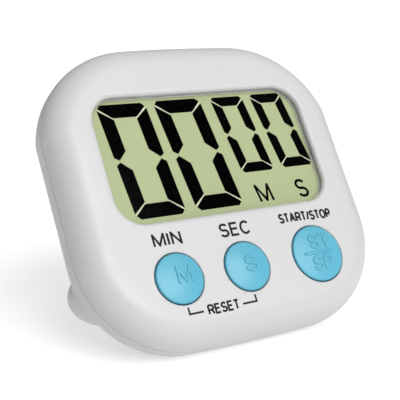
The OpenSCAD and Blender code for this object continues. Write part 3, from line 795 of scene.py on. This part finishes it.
class Nodes:
    """Short calls for building a material's node tree."""

    def __init__(self, name):
        self.material = bpy.data.materials.new(name)
        self.material.use_nodes = True
        self.tree = self.material.node_tree
        self.tree.nodes.clear()
        self.out = self.add("ShaderNodeOutputMaterial")

    def add(self, kind, inputs=None, **settings):
        node = self.tree.nodes.new(kind)
        for key, value in settings.items():
            setattr(node, key, value)
        for key, value in (inputs or {}).items():
            self.put(node.inputs[key], value)
        return node

    def put(self, socket, value):
        if isinstance(value, bpy.types.NodeSocket):
            self.tree.links.new(value, socket)
        else:
            socket.default_value = value

    def place(self):
        return self.add("ShaderNodeTexCoord").outputs["Object"]

    def noise(self, scale, detail=3.0, rough=0.5, at=None):
        node = self.add(
            "ShaderNodeTexNoise",
            {"Scale": scale, "Detail": detail, "Roughness": rough, "Vector": at or self.place()},
        )
        return node.outputs["Fac"]

    def between(self, value, low, high):
        node = self.add(
            "ShaderNodeMapRange",
            {"Value": value, "From Min": 0.3, "From Max": 0.7, "To Min": low, "To Max": high},
        )
        return node.outputs["Result"]

    def mix(self, factor, a, b):
        node = self.add("ShaderNodeMix", data_type="RGBA")
        self.put(node.inputs["Factor"], factor)
        self.put(node.inputs[6], a)
        self.put(node.inputs[7], b)
        return node.outputs[2]

    def bump(self, height, strength, distance, normal=None):
        node = self.add("ShaderNodeBump", {"Height": height, "Strength": strength, "Distance": distance})
        if normal is not None:
            self.put(node.inputs["Normal"], normal)
        return node.outputs["Normal"]

    def principled(self, **inputs):
        node = self.add("ShaderNodeBsdfPrincipled", inputs)
        self.tree.links.new(node.outputs["BSDF"], self.out.inputs["Surface"])
        return node


def rgba(colour, factor=1.0):
    """The colour, brighter or darker by a factor, as Blender's sockets take it."""
    return (colour[0] * factor, colour[1] * factor, colour[2] * factor, 1.0)


def plastic(name, colour, roughness=0.4, vary=0.02, grain=4200.0, grain_h=0.000006, specular=0.45):
    """Moulded plastic: slow drift in tone and gloss, and a fine grain from the mould."""
    m = Nodes(name)
    drift = m.noise(38, 3)
    speck = m.noise(900, 2)
    tone = m.mix(m.between(drift, 0.0, 1.0), rgba(colour, 1 - vary), rgba(colour, 1 + vary))
    tone = m.mix(m.between(speck, 0.0, 0.25), tone, rgba(colour, 1 - 2 * vary))
    gloss = m.between(m.noise(160, 4), roughness - 0.05, roughness + 0.05)
    normal = m.bump(m.noise(grain, 2, 0.6), 0.5, grain_h)
    normal = m.bump(m.noise(60, 2), 0.25, 0.00004, normal)
    m.principled(**{
        "Base Color": tone, "Roughness": gloss, "Normal": normal, "Specular IOR Level": specular,
    })
    return m.material


def metal(name, colour, roughness=0.3, stretch=(1.0, 1.0, 1.0), scale=1500.0):
    """Plated or rolled metal, with fine streaks and dull patches."""
    m = Nodes(name)
    warp = m.add("ShaderNodeMapping", {"Vector": m.place(), "Scale": stretch}).outputs["Vector"]
    streak = m.noise(scale, 4, 0.6, warp)
    tone = m.mix(m.between(streak, 0.0, 1.0), rgba(colour, 0.82), rgba(colour, 1.08))
    gloss = m.between(m.noise(220, 4), roughness - 0.08, roughness + 0.14)
    m.principled(**{
        "Base Color": tone, "Roughness": gloss, "Metallic": 1.0, "Normal": m.bump(streak, 0.4, 0.00001),
    })
    return m.material


def ink(name, colour, roughness=0.5, specular=0.03):
    """Printed ink: not quite even, and a little matt."""
    m = Nodes(name)
    grain = m.noise(3000, 3, 0.6)
    tone = m.mix(m.between(grain, 0.0, 1.0), rgba(colour, 0.7), rgba(colour, 1.3))
    gloss = m.between(m.noise(700, 2), roughness - 0.08, roughness + 0.08)
    m.principled(**{
        "Base Color": tone, "Roughness": gloss, "Normal": m.bump(grain, 0.2, 0.000004),
        "Specular IOR Level": specular,
    })
    return m.material


def clear_sheet(name, tint, gloss_share, roughness):
    """A clear sheet that light passes straight through, with a faint sheen and fine hairlines."""
    m = Nodes(name)
    hair = m.noise(1400, 3)
    tone = m.mix(m.between(hair, 0, 1), rgba(tint), rgba(tint, 0.99))
    see = m.add("ShaderNodeBsdfTransparent", {"Color": tone})
    normal = m.bump(hair, 0.1, 0.000003)
    sheen = m.add("ShaderNodeBsdfGlossy", {"Roughness": roughness, "Normal": normal})
    edge = m.add("ShaderNodeFresnel", {"IOR": 1.45}).outputs["Fac"]
    share = m.add("ShaderNodeMath", {0: edge, 1: gloss_share}, operation="MULTIPLY").outputs[0]
    both = m.add("ShaderNodeMixShader", {0: share, 1: see.outputs[0], 2: sheen.outputs[0]})
    m.tree.links.new(both.outputs[0], m.out.inputs["Surface"])
    return m.material


def display_film(name, colour):
    """The display's green-grey field: faint mottling and a fine etched sparkle."""
    m = Nodes(name)
    fine = m.noise(6000, 2, 0.6)
    slow = m.noise(45, 2)
    tone = m.mix(m.between(slow, 0, 1), rgba(colour, 0.97), rgba(colour, 1.03))
    tone = m.mix(m.between(fine, 0.0, 0.35), tone, rgba(colour, 0.92))
    m.principled(**{
        "Base Color": tone, "Roughness": m.between(slow, 0.5, 0.6),
        "Normal": m.bump(fine, 0.2, 0.000004), "Specular IOR Level": 0.1,
    })
    return m.material


def striped(name, dark, light, pitch):
    """Alternate carbon and clear layers along the contact strip."""
    m = Nodes(name)
    wave = m.add(
        "ShaderNodeTexWave",
        {"Vector": m.place(), "Scale": 0.31 / pitch, "Distortion": 0.4, "Detail": 1.0},
        wave_type="BANDS", bands_direction="X",
    )
    tone = m.mix(wave.outputs["Fac"], rgba(dark), rgba(light))
    m.principled(**{
        "Base Color": tone, "Roughness": m.between(m.noise(500), 0.5, 0.7),
        "Normal": m.bump(wave.outputs["Fac"], 0.3, 0.00002),
    })
    return m.material


def board(name, mask, copper):
    """Green solder mask over copper tracks."""
    m = Nodes(name)
    brick = m.add(
        "ShaderNodeTexBrick",
        {
            "Vector": m.place(), "Scale": 900.0, "Mortar Size": 0.03,
            "Color1": rgba(mask, 0.9), "Color2": rgba(mask, 1.15), "Mortar": rgba(copper),
        },
    )
    slow = m.noise(60, 3)
    tone = m.mix(m.between(slow, 0.0, 0.3), brick.outputs["Color"], rgba(mask))
    m.principled(**{
        "Base Color": tone, "Roughness": m.between(slow, 0.25, 0.4),
        "Normal": m.bump(brick.outputs["Fac"], 0.4, 0.00003),
    })
    return m.material


def rubber(name, colour, roughness=0.65):
    """Soft rubber: dusty, with a fine skin."""
    m = Nodes(name)
    skin = m.noise(2200, 4, 0.65)
    dust = m.noise(120, 4)
    tone = m.mix(m.between(dust, 0.0, 1.0), rgba(colour, 0.9), rgba(colour, 1.12))
    m.principled(**{
        "Base Color": tone, "Roughness": m.between(skin, roughness - 0.1, roughness + 0.1),
        "Normal": m.bump(skin, 0.5, 0.00002),
    })
    return m.material


def battery_wrap(name):
    """A printed sleeve with no words: copper towards the raised end, dark over the rest."""
    m = Nodes(name)
    across = m.add("ShaderNodeSeparateXYZ", {"Vector": m.place()}).outputs["X"]
    split = m.add(
        "ShaderNodeMapRange",
        {"Value": across, "From Min": 0.0068, "From Max": 0.0070, "To Min": 0, "To Max": 1},
    ).outputs["Result"]
    scuff = m.noise(300, 5, 0.65)
    dark = m.mix(m.between(scuff, 0.0, 1.0), (0.018, 0.024, 0.032, 1), (0.032, 0.04, 0.05, 1))
    warm = m.mix(m.between(scuff, 0.0, 1.0), (0.52, 0.23, 0.07, 1), (0.62, 0.29, 0.1, 1))
    m.principled(**{
        "Base Color": m.mix(split, dark, warm), "Metallic": 0.35,
        "Roughness": m.between(scuff, 0.22, 0.36), "Normal": m.bump(scuff, 0.15, 0.00001),
        "Coat Weight": 0.4,
    })
    return m.material


def floor_paper(name):
    """A pale studio table that glows a little, as a lit photographer's table does."""
    m = Nodes(name)
    fibre = m.noise(240, 5, 0.6)
    tone = m.mix(m.between(fibre, 0, 1), (0.59, 0.59, 0.59, 1), (0.61, 0.61, 0.61, 1))
    m.principled(**{
        "Base Color": tone, "Roughness": m.between(fibre, 0.8, 0.95),
        "Normal": m.bump(fibre, 0.1, 0.0001), "Specular IOR Level": 0.1,
        "Emission Color": (1.0, 1.0, 1.0, 1.0), "Emission Strength": TABLE_GLOW,
    })
    return m.material


TABLE_GLOW = 0.5
WHITE = (0.45, 0.45, 0.45)
BLUE = (0.076, 0.326, 0.437)
FILM_GREEN = (0.342, 0.382, 0.217)

CASE_WHITE = plastic("case_white", WHITE, 0.42, 0.012)
BUTTON_BLUE = plastic("button_blue", BLUE, 0.4, 0.03)
LCD_FILM = display_film("lcd_film", FILM_GREEN)
PRINT_BLACK = ink("print_black", (0.018, 0.018, 0.02), 0.55)
PRINT_WHITE = ink("print_white", (0.75, 0.75, 0.74), 0.5)
SEGMENT_BLACK = ink("segment_black", (0.0004, 0.0004, 0.0004), 0.5, 0.0)
GAP_LIGHT = ink("segment_gap", (0.7, 0.72, 0.6), 0.6)
STEEL = metal("screw_steel", (0.62, 0.62, 0.62), 0.3, (1, 6, 1))
SPRING = metal("spring_steel", (0.66, 0.65, 0.62), 0.25, (1, 1, 5))

NODE_LOOKS = {
    "lens_clear": lambda: clear_sheet("lens_clear", (0.985, 0.99, 0.985), 0.02, 0.12),
    "lcd_glass": lambda: clear_sheet("lcd_glass", (0.93, 0.96, 0.92), 0.8, 0.05),
    "lcd_film": lambda: LCD_FILM,
    "frame_black": lambda: plastic("frame_black", (0.02, 0.02, 0.021), 0.55, 0.08),
    "rubber_grey": lambda: rubber("rubber_grey", (0.42, 0.42, 0.43)),
    "zebra_rubber": lambda: striped("zebra_rubber", (0.03, 0.02, 0.02), (0.6, 0.24, 0.2), 0.0002),
    "carbon": lambda: rubber("carbon", (0.012, 0.012, 0.013), 0.6),
    "board_green": lambda: board("board_green", (0.012, 0.12, 0.04), (0.1, 0.22, 0.06)),
    "epoxy_black": lambda: plastic("epoxy_black", (0.008, 0.008, 0.009), 0.28, 0.15),
    "chip_tan": lambda: plastic("chip_tan", (0.3, 0.19, 0.09), 0.6, 0.12),
    "spring_steel": lambda: SPRING,
    "buzzer_brass": lambda: metal("buzzer_brass", (0.72, 0.5, 0.2), 0.28, (4, 1, 1)),
    "buzzer_white": lambda: plastic("buzzer_white", (0.66, 0.65, 0.6), 0.55, 0.05),
    "wire_red": lambda: plastic("wire_red", (0.42, 0.012, 0.01), 0.4, 0.06),
    "wire_black": lambda: plastic("wire_black", (0.014, 0.014, 0.015), 0.42, 0.1),
    "battery_can": lambda: battery_wrap("battery_can"),
    "magnet_nickel": lambda: metal("magnet_nickel", (0.6, 0.59, 0.56), 0.22, (1, 1, 1), 900.0),
    "screw_steel": lambda: STEEL,
    "case_white": lambda: CASE_WHITE,
    "button_blue": lambda: BUTTON_BLUE,
}


def dress_cad_nodes():
    """Gives every CAD node that stays the material of its slot in the record."""
    for part in RECORD["subparts"]:
        node = NODES[part["node"]]
        look = NODE_LOOKS[part["material_slot"]]()
        node.data.materials.clear()
        node.data.materials.append(look)


# ---- The pieces ----

CASE_STEP = 0.2
SMALL_STEP = 0.16
BUTTON_STEP = 0.1
FRONT_BOX = ((-36.6, -34.8, -6.6), (36.6, 34.8, 0.6))
BACK_BOX = ((-36.6, -34.8, -20.5), (36.6, 34.8, -5.4))
DOOR_BOX = ((-25, -25.8, -20.5), (36.4, -9.2, -12.4))
STAND_BOX = ((-14, -2.6, -2.6), (14, 29.2, 5.4))


def make_case():
    front = mould("case_front", front_case_field, *FRONT_BOX, CASE_STEP, FACE)
    finish_piece(front, CASE_WHITE, "case", "case_white", "front_case")
    back = mould("case_back", back_case_field, *BACK_BOX, CASE_STEP, FACE)
    finish_piece(back, CASE_WHITE, "case", "case_white", "back_case")


def make_door():
    door = mould("door_moulded", door_field, *DOOR_BOX, SMALL_STEP, FACE)
    finish_piece(door, CASE_WHITE, "battery_door", "case_white", "battery_door")


def make_stand():
    stand = mould("stand_moulded", stand_field, *STAND_BOX, SMALL_STEP, STAND)
    finish_piece(stand, CASE_WHITE, "stand", "case_white", "stand")


def make_buttons():
    for key, b in BUTTONS.items():
        reach = b["r"] + FLANGE_OUT + 0.6
        low = (b["u"] - reach, BUTTON_V - reach, STEM_BOTTOM - 0.4)
        high = (b["u"] + reach, BUTTON_V + reach, CROWN_TOP + 0.5)
        cap = mould("cap_" + key, button_field(key), low, high, BUTTON_STEP, FACE, 0.005)
        finish_piece(cap, BUTTON_BLUE, b["body"], "button_blue", "button_" + key)


def ring(name, inner, outer, low, high):
    """A flat ring between two outlines with the same number of points."""
    count = len(inner)
    verts = [(p[0], p[1], n) for n in (low, high) for shape in (inner, outer) for p in shape]
    faces = []
    for k in range(count):
        after = (k + 1) % count
        in_low, in_low_after = k, after
        out_low, out_low_after = count + k, count + after
        in_high, in_high_after = 2 * count + k, 2 * count + after
        out_high, out_high_after = 3 * count + k, 3 * count + after
        faces += [
            (in_low, in_low_after, out_low_after, out_low),
            (in_high, out_high, out_high_after, in_high_after),
            (in_low, in_high, in_high_after, in_low_after),
            (out_low, out_low_after, out_high_after, out_high),
        ]
    mesh = bpy.data.meshes.new(name)
    mesh.from_pydata(verts, [], faces)
    mesh.transform(FACE)
    return link(name, mesh)


def window_outline(margin, steps=12):
    """The window's rounded outline, moved out by a margin."""
    points = []
    for quarter, (side_u, side_v) in enumerate(((1, 1), (-1, 1), (-1, -1), (1, -1))):
        centre_u = side_u * (WINDOW_HALF_W - WINDOW_R)
        centre_v = WINDOW_V + side_v * (WINDOW_HALF_H - WINDOW_R)
        reach = WINDOW_R + margin
        points += arc_points(centre_u, centre_v, reach, reach, 90 * quarter, 90 * quarter + 90, steps)
    return points


def make_lens_border():
    """The white border printed on the back of the lens, just past the window's edge."""
    inner, outer = window_outline(BORDER_IN), window_outline(BORDER_OUT)
    border = ring("lens_border", inner, outer, BORDER_LOW, BORDER_LOW + INK_T)
    finish_piece(border, PRINT_WHITE, "case", "case_white")


def make_display():
    """The four digits and the two letters of the display, as ink on the film."""
    low = FILM_TOP + DIGIT_LIFT
    big = {"width": 11.7, "height": 26.0, "gap": 0.42}
    small = {"width": 8.52, "height": 18.63, "gap": 0.36}
    digits = [
        {"left": -23.95, "top": 19.86, "slant": 0.088, **big},
        {"left": -10.35, "top": 20.01, "slant": 0.115, **big},
        {"left": 4.09, "top": 19.86, "slant": 0.135, **small},
        {"left": 14.75, "top": 20.01, "slant": 0.15, **small},
    ]
    for k, d in enumerate(digits):
        shapes, lines = digit_zero(**d)
        name = "digit_%d" % (k + 1)
        finish_piece(prism(name, shapes, low, low + INK_T), SEGMENT_BLACK, "case", "lcd_film")
        gaps = prism(name + "_gaps", lines, low, low + INK_T / 2)
        finish_piece(gaps, GAP_LIGHT, "case", "lcd_film")
    words = (("M", 8.22, 12.06, 0.16), ("S", 18.98, 22.02, 0.13))
    for text, left, right, slant in words:
        box = (left, right, *SIGN_V)
        sign = lettering("display_" + text, text, box, FILM_TOP + SIGN_LIFT, SIGN_WEIGHT, slant)
        finish_piece(sign, SEGMENT_BLACK, "case", "lcd_film")


def make_labels():
    """The printed words beside the buttons, and the two lines that lead to the reset word."""
    labels = [
        ("label_min", "MIN", (-20.75, -14.1, -13.05, -10.1), 0.5, 0.0),
        ("label_sec", "SEC", (-5.0, 2.65, -13.2, -10.1), 0.52, 0.0),
        ("label_start_stop", "START/STOP", (10.4, 24.55, -12.2, -9.9), 0.48, -0.024),
        ("label_reset", "RESET", (-13.05, -5.45, -28.45, -26.25), 0.43, 0.0),
    ]
    for name, words, box, weight, climb in labels:
        sign = lettering(name, words, box, LABEL_N, weight, 0.0, climb)
        finish_piece(sign, PRINT_BLACK, "case", "case_white")
    brackets = [
        bracket(-17.4, -26.05, -14.0, -27.65),
        bracket(-1.1, -26.1, -4.7, -27.75),
    ]
    sign = prism("label_brackets", brackets, LABEL_N - INK_T / 2, LABEL_N + INK_T / 2)
    finish_piece(sign, PRINT_BLACK, "case", "case_white")


def bracket(corner_u, top_v, end_u, bottom_v):
    """An L-shaped line: down from the top, then across to the end."""
    w = BRACKET_W
    side = 1 if end_u > corner_u else -1
    shape = [
        (corner_u, top_v), (corner_u, bottom_v), (end_u, bottom_v),
        (end_u, bottom_v + w), (corner_u + side * w, bottom_v + w), (corner_u + side * w, top_v),
    ]
    return shape if side > 0 else shape[::-1]


# ---- Studio ----

CAMERA_AT = (-102.27, -54.6, 153.98)
CAMERA_LOOKS = (0.5059, 0.2677, -0.82)
LENS_MM = 81.0


def make_camera():
    data = bpy.data.cameras.new("camera")
    data.lens = LENS_MM
    data.sensor_width = 36.0
    data.clip_start = 0.01
    data.clip_end = 200.0
    camera = link("camera", data)
    camera.location = FACE @ Vector(CAMERA_AT)
    looks = (FACE.to_3x3() @ Vector(CAMERA_LOOKS)).normalized()
    camera.rotation_mode = "QUATERNION"
    camera.rotation_quaternion = looks.to_track_quat("-Z", "Y")
    bpy.context.scene.camera = camera


SUN_FROM = (0.1, -0.8, 0.6)
SUN_STRENGTH = 3.1
SUN_ANGLE = math.radians(50)
SKY_LOW = 0.03
SKY_HIGH = 0.98
WALL_LIGHT = 1.0


def make_sun():
    """One wide soft light from in front, a little to the right."""
    data = bpy.data.lights.new("front_light", "SUN")
    data.energy = SUN_STRENGTH
    data.angle = SUN_ANGLE
    light = link("front_light", data)
    light.rotation_mode = "QUATERNION"
    light.rotation_quaternion = (-Vector(SUN_FROM)).to_track_quat("-Z", "Y")


def make_world():
    """A soft overhead light, and a plain white wall where the surround itself shows."""
    world = bpy.data.worlds.new("studio")
    bpy.context.scene.world = world
    world.use_nodes = True
    tree = world.node_tree
    tree.nodes.clear()
    coord = tree.nodes.new("ShaderNodeTexCoord")
    split = tree.nodes.new("ShaderNodeSeparateXYZ")
    ramp = tree.nodes.new("ShaderNodeMapRange")
    light = tree.nodes.new("ShaderNodeBackground")
    wall = tree.nodes.new("ShaderNodeBackground")
    seen = tree.nodes.new("ShaderNodeLightPath")
    either = tree.nodes.new("ShaderNodeMixShader")
    out = tree.nodes.new("ShaderNodeOutputWorld")
    tree.links.new(coord.outputs["Generated"], split.inputs[0])
    tree.links.new(split.outputs["Z"], ramp.inputs["Value"])
    ramp.inputs["To Min"].default_value = SKY_LOW
    ramp.inputs["To Max"].default_value = SKY_HIGH
    tree.links.new(ramp.outputs["Result"], light.inputs["Strength"])
    wall.inputs["Strength"].default_value = WALL_LIGHT
    wall.inputs["Color"].default_value = (1.0, 1.0, 1.0, 1.0)
    tree.links.new(seen.outputs["Is Camera Ray"], either.inputs["Fac"])
    tree.links.new(light.outputs[0], either.inputs[1])
    tree.links.new(wall.outputs[0], either.inputs[2])
    tree.links.new(either.outputs[0], out.inputs["Surface"])


FLOOR_HALF = 60.0


def make_floor():
    mesh = bpy.data.meshes.new("floor")
    corners = [(x * FLOOR_HALF, y * FLOOR_HALF, 0) for x, y in ((-1, -1), (1, -1), (1, 1), (-1, 1))]
    mesh.from_pydata(corners, [], [(0, 1, 2, 3)])
    mesh.materials.append(floor_paper("floor_paper"))
    floor = link("floor", mesh)


def make_studio():
    make_camera()
    make_world()
    make_floor()
    make_sun()
    bpy.context.scene.view_settings.view_transform = "Standard"


make_studio()
dress_cad_nodes()
make_case()
make_door()
make_stand()
make_buttons()
make_lens_border()
make_display()
make_labels()
